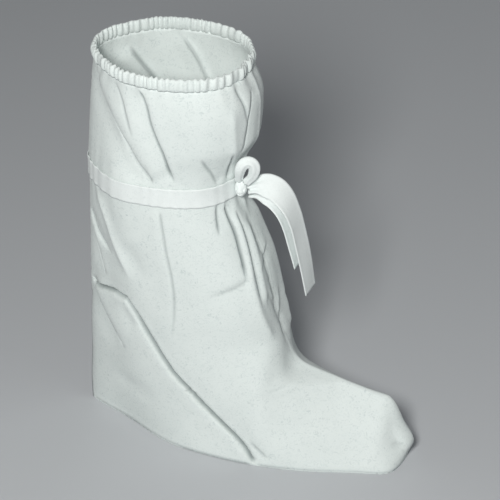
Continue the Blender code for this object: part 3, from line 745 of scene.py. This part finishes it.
def sheet_from_grid(grid, closed):
    """Quad sheet whose rows are the grid's rings or ribs; closed rings are joined at their seam."""
    rows, columns = grid.shape[:2]
    across = columns if closed else columns - 1
    bm = bmesh.new()
    bm.loops.layers.uv.new("UVMap")
    made = bmesh.ops.create_grid(bm, x_segments=across, y_segments=rows - 1, size=1.0, calc_uvs=True)
    for vert in made["verts"]:
        column = round((vert.co.x + 1) / 2 * across) % columns
        row = round((vert.co.y + 1) / 2 * (rows - 1))
        vert.co = grid[row, column]
    bmesh.ops.remove_doubles(bm, verts=bm.verts, dist=1e-7)
    bmesh.ops.recalc_face_normals(bm, faces=bm.faces)
    return bm


def add_piece(name, bm, material, nodes):
    """Object for a finished mesh, riding on the part's body in place of its nodes."""
    mesh = bpy.data.meshes.new(name)
    bm.to_mesh(mesh)
    bm.free()
    mesh.materials.append(material)
    mesh.shade_smooth()
    piece = bpy.data.objects.new(name, mesh)
    bpy.context.collection.objects.link(piece)
    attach(piece, "root")
    if nodes:
        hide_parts(*nodes)
    return piece


def add_wall(piece, thickness, offset):
    """Give a sheet its thickness: inwards at -1, to both sides at 0, outwards at 1."""
    wall = piece.modifiers.new("Wall", "SOLIDIFY")
    wall.thickness = thickness
    wall.offset = offset


def vert_arrays(bm):
    """Places and normals of a mesh's vertices."""
    bm.normal_update()
    points = np.array([vert.co for vert in bm.verts])
    normals = np.array([vert.normal for vert in bm.verts])
    return points, normals


def refine(bm, chosen):
    """Halve the edges whose two ends are both chosen."""
    bm.verts.index_update()
    edges = [e for e in bm.edges if chosen[e.verts[0].index] and chosen[e.verts[1].index]]
    bmesh.ops.subdivide_edges(bm, edges=edges, cuts=1, use_grid_fill=True)


def near_folds(sizes, points, normals, reach, least_cut):
    """Which points lie within reach of the line of a fold that is cut at least so deep, in mm."""
    chosen = np.zeros(len(points), bool)
    for fold in FOLDS:
        if abs(fold.cut) < least_cut:
            continue
        near, across = across_line(fold_line(sizes, fold), points, normals, reach)[:2]
        chosen[near[np.abs(across) * MM < reach]] = True
    return chosen


def shell_heights(sizes, rows):
    """Heights of mesh rows, evenly spaced along the profile of the front."""
    heights = np.linspace(LOWER_EDGE, UPPER_EDGE, PROFILE_STEPS)
    front = smooth_through(heights, OUTLINE_HEIGHTS, [o.front for o in OUTLINE])
    steps = np.hypot(np.diff(heights), sizes.foot_length * np.diff(front))
    way = running_sum(steps)
    return np.interp(np.linspace(0, way[-1], rows), way, heights)


def make_upper(sizes, cloth):
    """Folded shell: a tube through the level sections, refined along its folds and seams, then raised."""
    shares = np.arange(SHELL_COLUMNS) / SHELL_COLUMNS
    grid = np.array([section_ring(sizes, height, shares) for height in shell_heights(sizes, SHELL_ROWS)])
    bm = sheet_from_grid(grid, closed=True)
    points, normals = vert_arrays(bm)
    chosen = np.abs(points[:, 1]) < SEAM_REFINEMENT * MM
    for reach, least_cut in REFINEMENTS:
        refine(bm, chosen | near_folds(sizes, points, normals, reach * MM, least_cut))
        points, normals = vert_arrays(bm)
        chosen = np.zeros(len(points), bool)
    upright = soft_step(points[:, 2] / MM, *UPRIGHT_ENDS)
    level = np.column_stack([np.ones((len(points), 2)), upright])
    relief, shade = shell_relief(sizes, points, normals)
    moved = points + normals * level * relief[:, None]
    # Painted shade of the fold cuts, stored on each vertex so that the material darkens the colour there
    layer = bm.verts.layers.float.new(SHADE_LAYER)
    for vert, place, depth in zip(bm.verts, moved, shade):
        vert.co = place
        vert[layer] = depth
    piece = add_piece("cover_upper", bm, cloth, ["upper"])
    add_wall(piece, sizes.cloth_thickness, -1.0)


def make_sole(sizes, cloth):
    """Flat panel inside the shell's lower edge, with its rims eased."""
    thickness = SOLE_BOX[1][2] - SOLE_BOX[0][2]
    ring = section_ring(sizes, LOWER_EDGE, np.arange(SOLE_COLUMNS) / SOLE_COLUMNS)
    bm = bmesh.new()
    outline = [bm.verts.new((x, y, 0.0)) for x, y, z in ring]
    face = bm.faces.new(outline)
    bmesh.ops.recalc_face_normals(bm, faces=[face])
    bmesh.ops.inset_region(bm, faces=[face], thickness=SOLE_INSET * MM, use_even_offset=True)
    rim = [f for f in bm.faces if f is not face]
    bmesh.ops.delete(bm, geom=rim, context="FACES")
    top = bmesh.ops.extrude_face_region(bm, geom=[face])["geom"]
    raised = [item for item in top if isinstance(item, bmesh.types.BMVert)]
    bmesh.ops.translate(bm, vec=(0, 0, thickness), verts=raised)
    bmesh.ops.recalc_face_normals(bm, faces=bm.faces)
    edges = [e for e in bm.edges if len(e.link_faces) == 2 and any(len(f.verts) > 4 for f in e.link_faces)]
    bmesh.ops.bevel(bm, geom=edges, offset=SOLE_EDGE * MM, offset_type="OFFSET", affect="EDGES", segments=2,
                    profile=0.5, material=-1)
    add_piece("sole_panel", bm, cloth, ["sole"])


def casing_ring(sizes, shares):
    """Upper edge of the bare shell, with its level outward normals."""
    ring = section_ring(sizes, UPPER_EDGE, shares)
    return ring, level_outward(ring)


def make_collar_casing(sizes, cloth):
    """Folded hem over an elastic, drawn into small ruffles."""
    top = CASING_BOX[1][2]
    datums = {"edge": UPPER_EDGE, "top": top}
    ring, outward = casing_ring(sizes, np.arange(CASING_COLUMNS) / CASING_COLUMNS)
    ruffle = waves_round(shaft_angle(sizes, ring), RUFFLES, RUFFLE_SWINGS)
    pleats = gathers_relief(sizes, ring)
    rows = []
    for row in CASING_ROWS + CASING_ROWS[:1]:
        height = datums[row.datum] + row.shift * MM
        line = ring + outward * ((row.offset + ruffle * row.ruffle * RUFFLE_DEPTH) * MM + pleats)[:, None]
        lift = soft_step(height, UPPER_EDGE, top) * RUFFLE_LIFT * MM
        line[:, 2] = height + lift * (np.roll(ruffle, RUFFLE_LAG) - 1)
        rows.append(line)
    bm = sheet_from_grid(np.array(rows), closed=True)
    add_piece("collar_casing_ruffled", bm, cloth, ["collar_casing"])


def make_casing_stitches(sizes, thread):
    """Row of short stitches under the casing."""
    ring, outward = casing_ring(sizes, np.arange(STITCH_COLUMNS) / STITCH_COLUMNS)
    pleats = gathers_relief(sizes, ring)
    ruffle = waves_round(shaft_angle(sizes, ring), RUFFLES, RUFFLE_SWINGS)
    line = ring + outward * ((STITCH_OFFSET + ruffle * STITCH_RUFFLE * RUFFLE_DEPTH) * MM + pleats)[:, None]
    line[:, 2] = UPPER_EDGE + STITCH_RISE * MM
    way = running_sum(np.linalg.norm(np.diff(line, axis=0), axis=1))
    count = round(way[-1] / sizes.stitch_pitch)
    deep, tall = STITCH_HALVES
    shape = Matrix.Diagonal((sizes.stitch_pitch * STITCH_HALF_LENGTH, deep * MM, tall * MM, 1.0))
    bm = bmesh.new()
    for k in range(count):
        at = way[-1] * k / count
        place = Vector([np.interp(at, way, line[:, i]) for i in range(3)])
        ahead = Vector([np.interp(at + 1 * MM, way, line[:, i]) for i in range(3)])
        turn = (ahead - place).to_track_quat("X", "Z").to_matrix().to_4x4()
        bmesh.ops.create_uvsphere(bm, u_segments=6, v_segments=5, radius=1.0,
                                  matrix=Matrix.Translation(place) @ turn @ shape)
    add_piece("casing_stitches", bm, thread, [])


def make_tie_band(sizes, tape):
    """Tape drawn round the calf, with its folded edges a little proud of its middle."""
    across = np.linspace(-1, 1, BAND_COLUMNS)
    edge = np.abs(across)[:, None]
    heights = BAND_HEIGHT + across * sizes.band_height / 2
    shares = np.arange(BAND_STEPS) / BAND_STEPS
    rings = np.array([section_ring(sizes, height, shares) for height in heights])
    angle = shaft_angle(sizes, rings.reshape(-1, 3)).reshape(rings.shape[:2])
    ripple = waves_round(angle, PLEATS, PLEAT_SWINGS) * (BAND_RIPPLE + BAND_EDGE_RIPPLE * edge**2)
    hem = BAND_HEM * hump(edge, BAND_HEM_PLACE, BAND_HEM_SPREAD)
    grid = rings + level_outward(rings) * ((BAND_OFFSET + ripple + hem) * MM)[..., None]
    grid[..., 2] += BAND_SWAY * MM * np.sin(BAND_SWAYS * angle + BAND_SWAY_PHASE)
    ribs = np.transpose(grid, (1, 0, 2))
    ribs = np.concatenate([ribs, ribs[:1]])
    bm = sheet_from_grid(ribs, closed=False)
    piece = add_piece("tie_band_tape", bm, tape, ["tie_band"])
    add_wall(piece, sizes.tape_thickness, 1.0)


def smooth_route(route, step):
    """Evenly spaced points on a smooth curve through a route given from the knot's centre."""
    points = KNOT_CENTRE + np.array(route) * MM
    padded = np.vstack([2 * points[0] - points[1], points, 2 * points[-1] - points[-2]])
    fine = []
    for p0, p1, p2, p3 in zip(padded, padded[1:], padded[2:], padded[3:]):
        for t in np.linspace(0, 1, ROUTE_STEPS, endpoint=False):
            fine.append(0.5 * (2 * p1 + (p2 - p0) * t + (2 * p0 - 5 * p1 + 4 * p2 - p3) * t**2
                               + (3 * p1 - p0 - 3 * p2 + p3) * t**3))
    fine.append(points[-1])
    fine = np.array(fine)
    way = running_sum(np.linalg.norm(np.diff(fine, axis=0), axis=1))
    stops = np.linspace(0, way[-1], max(2, round(way[-1] / step)) + 1)
    return np.column_stack([np.interp(stops, way, fine[:, k]) for k in range(3)]), stops


def make_tail(sizes, tail, tape):
    """Free end of the tape: pleated at the knot, opening flat and turning as it comes down."""
    path, way = smooth_route(tail.route, TAIL_STEP * MM)
    tangents = unit(np.gradient(path, axis=0))
    across = np.linspace(-1, 1, TAIL_COLUMNS)
    hem = TAIL_HEM * hump(np.abs(across), TAIL_HEM_PLACE, TAIL_HEM_SPREAD)
    ribs = []
    for place, tangent, travelled in zip(path, tangents, way):
        turn = travelled / way[-1]
        side = (1 - turn) * np.array(tail.first_across) + turn * np.array(tail.last_across)
        side = unit(side - tangent * (side @ tangent))
        face = np.cross(tangent, side)
        opened = soft_step(travelled, 0, TAIL_OPENS * MM)
        half = sizes.tape_width / 2 * (TAIL_START + (1 - TAIL_START) * opened)
        pleats = TAIL_PLEAT * (1 - opened) * np.cos(across * TAIL_PLEATS * math.pi)
        curl = TAIL_CURL * opened * np.sin(turn * TAIL_CURL_TURNS + across * TAIL_CURL_LEAN)
        lift = (pleats + curl + hem * opened) * MM
        ribs.append(place + side * (across * half)[:, None] + face * lift[:, None])
    bm = sheet_from_grid(np.array(ribs), closed=False)
    piece = add_piece(tail.node + "_tape", bm, tape, [tail.node])
    add_wall(piece, sizes.tape_thickness, 0.0)
    return piece, path, way[-1]


def tube_rings(path, tangents, wide, thick):
    """Rings of a rolled tape along a path: an oval with lengthwise pleats."""
    turn = np.linspace(0, 2 * math.pi, LOOP_SIDES, endpoint=False)
    ripple = 1 + LOOP_PLEAT_DEPTH * np.cos(LOOP_PLEATS * turn + LOOP_PLEAT_PHASE)
    rings = []
    for place, tangent, w, h in zip(path, tangents, wide, thick):
        side = unit(np.cross(tangent, LOOP_FACING))
        face = np.cross(tangent, side)
        oval = side * (w * np.cos(turn) * ripple)[:, None] + face * (h * np.sin(turn) * ripple)[:, None]
        rings.append(place + oval)
    return np.array(rings)


def make_tie_loop(tape):
    """Rolled loop of tape standing over the knot."""
    path, way = smooth_route(LOOP_ROUTE, LOOP_STEP * MM)
    tangents = unit(np.gradient(path, axis=0))
    opened = np.sin(math.pi * np.clip(way / way[-1], *LOOP_ENDS))
    wide, thick = ((start + gain * opened) * MM for start, gain in (LOOP_WIDE, LOOP_THICK))
    bm = sheet_from_grid(tube_rings(path, tangents, wide, thick), closed=True)
    bmesh.ops.holes_fill(bm, edges=[e for e in bm.edges if e.is_boundary])
    bmesh.ops.recalc_face_normals(bm, faces=bm.faces)
    return add_piece("tie_loop_tape", bm, tape, ["tie_loop"])


def make_tie_knot(tape):
    """Pulled-down knot: a twisted core with one wrap of tape across it."""
    radii = (np.array(KNOT_BOX[1]) - np.array(KNOT_BOX[0])) / 2
    bm = bmesh.new()
    bm.loops.layers.uv.new("UVMap")
    bmesh.ops.create_icosphere(bm, subdivisions=5, radius=1.0, calc_uvs=True)
    for vert in bm.verts:
        x, y, z = vert.co
        swirl = math.cos(KNOT_LOBES * math.atan2(z, y) + KNOT_TWIST * math.hypot(y, z))
        swell = KNOT_CORE + KNOT_SWIRL * swirl
        vert.co = Vector(KNOT_CENTRE) + Vector((x * radii[0], y * radii[1], z * radii[2])) * swell
    turns = np.linspace(0, 2 * math.pi, WRAP_STEPS, endpoint=False)
    ring = np.column_stack([np.cos(turns), np.sin(turns), np.sin(turns)])
    path = KNOT_CENTRE + radii * np.array(WRAP_RADII) * ring
    tangents = unit(np.roll(path, -1, axis=0) - np.roll(path, 1, axis=0))
    across = np.linspace(-1, 1, WRAP_COLUMNS)
    crown = WRAP_CROWN - WRAP_FALL * across**2 + WRAP_RIB * np.cos(across * 3 * math.pi)
    ribs = []
    for place, tangent in zip(np.vstack([path, path[:1]]), np.vstack([tangents, tangents[:1]])):
        outward = unit(place - KNOT_CENTRE)
        side = unit(np.cross(outward, tangent))
        ribs.append(place + side * (across * WRAP_HALF * MM)[:, None] + outward * (crown * MM)[:, None])
    wrap = sheet_from_grid(np.array(ribs), closed=False)
    bmesh.ops.solidify(wrap, geom=wrap.faces[:], thickness=WRAP_THICKNESS * MM)
    spare = bpy.data.meshes.new("wrap")
    wrap.to_mesh(spare)
    wrap.free()
    bm.from_mesh(spare)
    bpy.data.meshes.remove(spare)
    return add_piece("tie_knot_tape", bm, tape, ["tie_knot"])


def add_node(tree, kind, place, **values):
    """Shader node with some of its inputs set."""
    node = tree.nodes.new(kind)
    node.location = place
    for name, value in values.items():
        node.inputs[name].default_value = value
    return node


def nonwoven_group():
    """Node group: web of fine fibres and slow mottling, from object coordinates in metres."""
    name = "Nonwoven web"
    if name in bpy.data.node_groups:
        return bpy.data.node_groups[name]
    tree = bpy.data.node_groups.new(name, "ShaderNodeTree")
    face = tree.interface
    face.new_socket("Vector", in_out="INPUT", socket_type="NodeSocketVector")
    for label, default in (("Fibre scale", 260.0), ("Mottle scale", 28.0), ("Mottle", 0.35)):
        face.new_socket(label, in_out="INPUT", socket_type="NodeSocketFloat").default_value = default
    face.new_socket("Shade", in_out="OUTPUT", socket_type="NodeSocketFloat")
    face.new_socket("Height", in_out="OUTPUT", socket_type="NodeSocketFloat")
    enter = add_node(tree, "NodeGroupInput", (-900, 0))
    leave = add_node(tree, "NodeGroupOutput", (500, 0))
    fibre = add_node(tree, "ShaderNodeTexNoise", (-600, 200), Detail=5.0, Roughness=0.6, Distortion=1.6)
    fibre.noise_type = "RIDGED_MULTIFRACTAL"
    fibre.normalize = True
    grain = add_node(tree, "ShaderNodeTexNoise", (-600, -100), Scale=1900.0, Detail=3.0)
    mottle = add_node(tree, "ShaderNodeTexNoise", (-600, -400), Detail=3.0, Distortion=0.8)
    web = add_node(tree, "ShaderNodeMath", (-300, 100))
    web.operation = "MULTIPLY_ADD"
    web.inputs[1].default_value = GRAIN_SHARE
    amount = add_node(tree, "ShaderNodeMath", (-300, -250))
    amount.operation = "MULTIPLY_ADD"
    amount.inputs[2].default_value = MOTTLE_SHIFT
    shade = add_node(tree, "ShaderNodeMath", (100, 100))
    shade.operation = "MULTIPLY_ADD"
    shade.inputs[1].default_value = WEB_CONTRAST
    shade.use_clamp = True
    link = tree.links.new
    for texture in (fibre, grain, mottle):
        link(enter.outputs["Vector"], texture.inputs["Vector"])
    link(enter.outputs["Fibre scale"], fibre.inputs["Scale"])
    link(enter.outputs["Mottle scale"], mottle.inputs["Scale"])
    link(grain.outputs["Fac"], web.inputs[0])
    link(fibre.outputs["Fac"], web.inputs[2])
    link(mottle.outputs["Fac"], amount.inputs[0])
    link(enter.outputs["Mottle"], amount.inputs[1])
    link(web.outputs[0], shade.inputs[0])
    link(amount.outputs[0], shade.inputs[2])
    link(shade.outputs[0], leave.inputs["Shade"])
    link(web.outputs[0], leave.inputs["Height"])
    return tree


def cloth_material(name, light, dark, painted_shade, fibre_scale, mottle, bump, roughness, sheen):
    """Matt nonwoven: two close whites over the fibre web, the web as fine relief, and painted shade in fold
    cuts.
    """
    if name in bpy.data.materials:
        return bpy.data.materials[name]
    material = bpy.data.materials.new(name)
    material.use_nodes = True
    tree = material.node_tree
    shader = tree.nodes["Principled BSDF"]
    shader.inputs["Sheen Weight"].default_value = sheen
    shader.inputs["Sheen Roughness"].default_value = 0.5
    shader.inputs["Specular IOR Level"].default_value = 0.3
    place = add_node(tree, "ShaderNodeTexCoord", (-1000, 0))
    web = add_node(tree, "ShaderNodeGroup", (-800, 0))
    web.node_tree = nonwoven_group()
    web.inputs["Fibre scale"].default_value = fibre_scale
    web.inputs["Mottle"].default_value = mottle
    mix = add_node(tree, "ShaderNodeMix", (-500, 200))
    mix.data_type = "RGBA"
    mix.inputs[MIX_FIRST].default_value = light
    mix.inputs[MIX_SECOND].default_value = dark
    rough = add_node(tree, "ShaderNodeMapRange", (-500, -100))
    rough.inputs["To Min"].default_value = roughness - ROUGHNESS_SPREAD
    rough.inputs["To Max"].default_value = roughness + ROUGHNESS_SPREAD
    relief = add_node(tree, "ShaderNodeBump", (-500, -400), Strength=bump, Distance=WEB_DEPTH * MM)
    # Painted shade: the colour is mixed towards the fold shade colour where the shell's fold cuts lie
    painted_shade_amount = add_node(tree, "ShaderNodeAttribute", (-500, 500))
    painted_shade_amount.attribute_name = SHADE_LAYER
    with_painted_shade = add_node(tree, "ShaderNodeMix", (-250, 300))
    with_painted_shade.data_type = "RGBA"
    with_painted_shade.inputs[MIX_SECOND].default_value = painted_shade
    link = tree.links.new
    link(place.outputs["Object"], web.inputs["Vector"])
    link(web.outputs["Shade"], mix.inputs[MIX_FACTOR])
    link(web.outputs["Shade"], rough.inputs["Value"])
    link(web.outputs["Height"], relief.inputs["Height"])
    link(painted_shade_amount.outputs["Fac"], with_painted_shade.inputs[MIX_FACTOR])
    link(mix.outputs[MIX_COLOUR], with_painted_shade.inputs[MIX_FIRST])
    link(with_painted_shade.outputs[MIX_COLOUR], shader.inputs["Base Color"])
    link(rough.outputs[0], shader.inputs["Roughness"])
    link(relief.outputs["Normal"], shader.inputs["Normal"])
    return material


def shell_cloth(finish):
    """White cloth of the shell and the collar casing."""
    return cloth_material("nonwoven_shell", finish.cloth_light, finish.cloth_dark, finish.fold_shade,
                          fibre_scale=240, mottle=0.40, bump=0.75, roughness=0.72, sheen=0.12)


def sole_cloth(finish):
    """Smoother cloth of the sole panel."""
    return cloth_material("nonwoven_sole", finish.cloth_light, finish.cloth_dark, finish.fold_shade,
                          fibre_scale=320, mottle=0.45, bump=0.55, roughness=0.62, sheen=0.05)


def tape_cloth(finish):
    """Finer cloth of the tie tape."""
    return cloth_material("nonwoven_tape", finish.tape_light, finish.tape_dark, finish.fold_shade,
                          fibre_scale=420, mottle=0.25, bump=0.60, roughness=0.70, sheen=0.12)


def sewing_thread(finish):
    """Thread of the stitches under the casing."""
    return cloth_material("sewing_thread", finish.thread, finish.cloth_dark, finish.fold_shade,
                          fibre_scale=1500, mottle=0.20, bump=0.40, roughness=0.60, sheen=0.20)


def aim(obj, target):
    """Turn a camera or a light towards a point."""
    obj.rotation_euler = (Vector(target) - obj.location).to_track_quat("-Z", "Y").to_euler()


def round_place(target, azimuth, elevation, distance):
    """Place at an angle round the target; zero azimuth is straight out from the right side."""
    level = math.cos(elevation)
    way = Vector((math.sin(azimuth) * level, -math.cos(azimuth) * level, math.sin(elevation)))
    return Vector(target) + way * distance


def add_soft_light(light, target, power):
    """Disk of light at its place round the target, turned towards it."""
    data = bpy.data.lights.new(light.name, "AREA")
    data.shape = "DISK"
    data.size = light.size
    data.energy = power
    data.color = light.colour
    lamp = bpy.data.objects.new(light.name, data)
    bpy.context.collection.objects.link(lamp)
    azimuth, elevation = math.radians(light.azimuth), math.radians(light.elevation)
    lamp.location = round_place(target, azimuth, elevation, light.distance)
    aim(lamp, target)


def floor_material(colour):
    """Plain matt studio floor."""
    material = bpy.data.materials.new("studio_floor")
    material.use_nodes = True
    shader = material.node_tree.nodes["Principled BSDF"]
    shader.inputs["Base Color"].default_value = colour
    shader.inputs["Roughness"].default_value = 0.8
    return material


def make_stage(studio, finish):
    """Camera at its angle round the cover, floor, soft lights and an even sky."""
    scene = bpy.context.scene
    scene.view_settings.view_transform = "Standard"
    low, high = CAD_BOX
    target = [(a + b) / 2 for a, b in zip(low, high)]
    data = bpy.data.cameras.new("studio_camera")
    data.sensor_width = SENSOR_WIDTH
    data.lens = data.sensor_width * studio.distance / studio.frame_width
    camera = bpy.data.objects.new("studio_camera", data)
    scene.collection.objects.link(camera)
    camera.location = round_place(target, studio.azimuth, studio.elevation, studio.distance)
    aim(camera, target)
    scene.camera = camera
    bm = bmesh.new()
    bmesh.ops.create_circle(bm, cap_ends=True, segments=96, radius=FLOOR_RADIUS)
    mesh = bpy.data.meshes.new("studio_floor")
    bm.to_mesh(mesh)
    bm.free()
    mesh.materials.append(floor_material(finish.floor))
    floor = bpy.data.objects.new("studio_floor", mesh)
    scene.collection.objects.link(floor)
    for light in LIGHTS:
        add_soft_light(light, target, getattr(studio, light.name + "_power"))
    world = bpy.data.worlds.new("studio_sky")
    scene.world = world
    world.use_nodes = True
    sky = world.node_tree.nodes["Background"]
    sky.inputs["Color"].default_value = SKY_COLOUR
    sky.inputs["Strength"].default_value = studio.sky


class BOOT_OT_upper(bpy.types.Operator):
    """Make the folded shell of the cover"""
    bl_idname = "boot_cover.upper"
    bl_label = "Upper"

    def execute(self, context):
        make_upper(context.scene.boot_sizes, shell_cloth(context.scene.boot_finish))
        return {"FINISHED"}


class BOOT_OT_sole(bpy.types.Operator):
    """Make the flat sole panel"""
    bl_idname = "boot_cover.sole"
    bl_label = "Sole panel"

    def execute(self, context):
        make_sole(context.scene.boot_sizes, sole_cloth(context.scene.boot_finish))
        return {"FINISHED"}


class BOOT_OT_collar(bpy.types.Operator):
    """Make the ruffled collar casing and its stitches"""
    bl_idname = "boot_cover.collar"
    bl_label = "Collar casing"

    def execute(self, context):
        make_collar_casing(context.scene.boot_sizes, shell_cloth(context.scene.boot_finish))
        make_casing_stitches(context.scene.boot_sizes, sewing_thread(context.scene.boot_finish))
        return {"FINISHED"}


class BOOT_OT_tie_band(bpy.types.Operator):
    """Make the tape round the calf"""
    bl_idname = "boot_cover.tie_band"
    bl_label = "Tie band"

    def execute(self, context):
        make_tie_band(context.scene.boot_sizes, tape_cloth(context.scene.boot_finish))
        return {"FINISHED"}


class BOOT_OT_tie_ends(bpy.types.Operator):
    """Make the knot, the loop and the two free ends of the tape"""
    bl_idname = "boot_cover.tie_ends"
    bl_label = "Knot, loop and ends"

    def execute(self, context):
        sizes = context.scene.boot_sizes
        tape = tape_cloth(context.scene.boot_finish)
        knot = make_tie_knot(tape)
        loop = make_tie_loop(tape)
        front, path, length = make_tail(sizes, TAILS[0], tape)
        rear = make_tail(sizes, TAILS[1], tape)[0]
        return {"FINISHED"}


class BOOT_OT_stage(bpy.types.Operator):
    """Make the camera, the lights and the floor"""
    bl_idname = "boot_cover.stage"
    bl_label = "Stage"

    def execute(self, context):
        make_stage(context.scene.boot_studio, context.scene.boot_finish)
        return {"FINISHED"}


OPERATORS = (BOOT_OT_stage, BOOT_OT_tie_ends, BOOT_OT_tie_band, BOOT_OT_upper, BOOT_OT_sole, BOOT_OT_collar)


class BOOT_PT_cover(bpy.types.Panel):
    """Sidebar panel that lists the cover's pieces"""
    bl_idname = "BOOT_PT_cover"
    bl_label = "Boot cover"
    bl_space_type = "VIEW_3D"
    bl_region_type = "UI"
    bl_category = "Boot cover"

    def draw(self, context):
        layout = self.layout
        for group in (context.scene.boot_sizes, context.scene.boot_finish, context.scene.boot_studio):
            for name in group.__annotations__:
                layout.prop(group, name)
        for operator in OPERATORS:
            layout.operator(operator.bl_idname)


GROUPS = (("boot_sizes", BootCoverSizes), ("boot_finish", BootCoverFinish), ("boot_studio", BootCoverStudio))
CLASSES = tuple(group for name, group in GROUPS) + OPERATORS + (BOOT_PT_cover,)


def register():
    """Register the classes and give the scene its settings."""
    for cls in CLASSES:
        bpy.utils.register_class(cls)
    for name, group in GROUPS:
        setattr(bpy.types.Scene, name, bpy.props.PointerProperty(type=group))


def unregister():
    """Take the settings and the classes away again."""
    for name, group in GROUPS:
        delattr(bpy.types.Scene, name)
    for cls in reversed(CLASSES):
        bpy.utils.unregister_class(cls)


def main():
    """Make the stage and every piece."""
    register()
    bpy.ops.boot_cover.stage()
    bpy.ops.boot_cover.tie_ends()
    bpy.ops.boot_cover.tie_band()
    bpy.ops.boot_cover.upper()
    bpy.ops.boot_cover.sole()
    bpy.ops.boot_cover.collar()


if __name__ == "__main__":
    main()
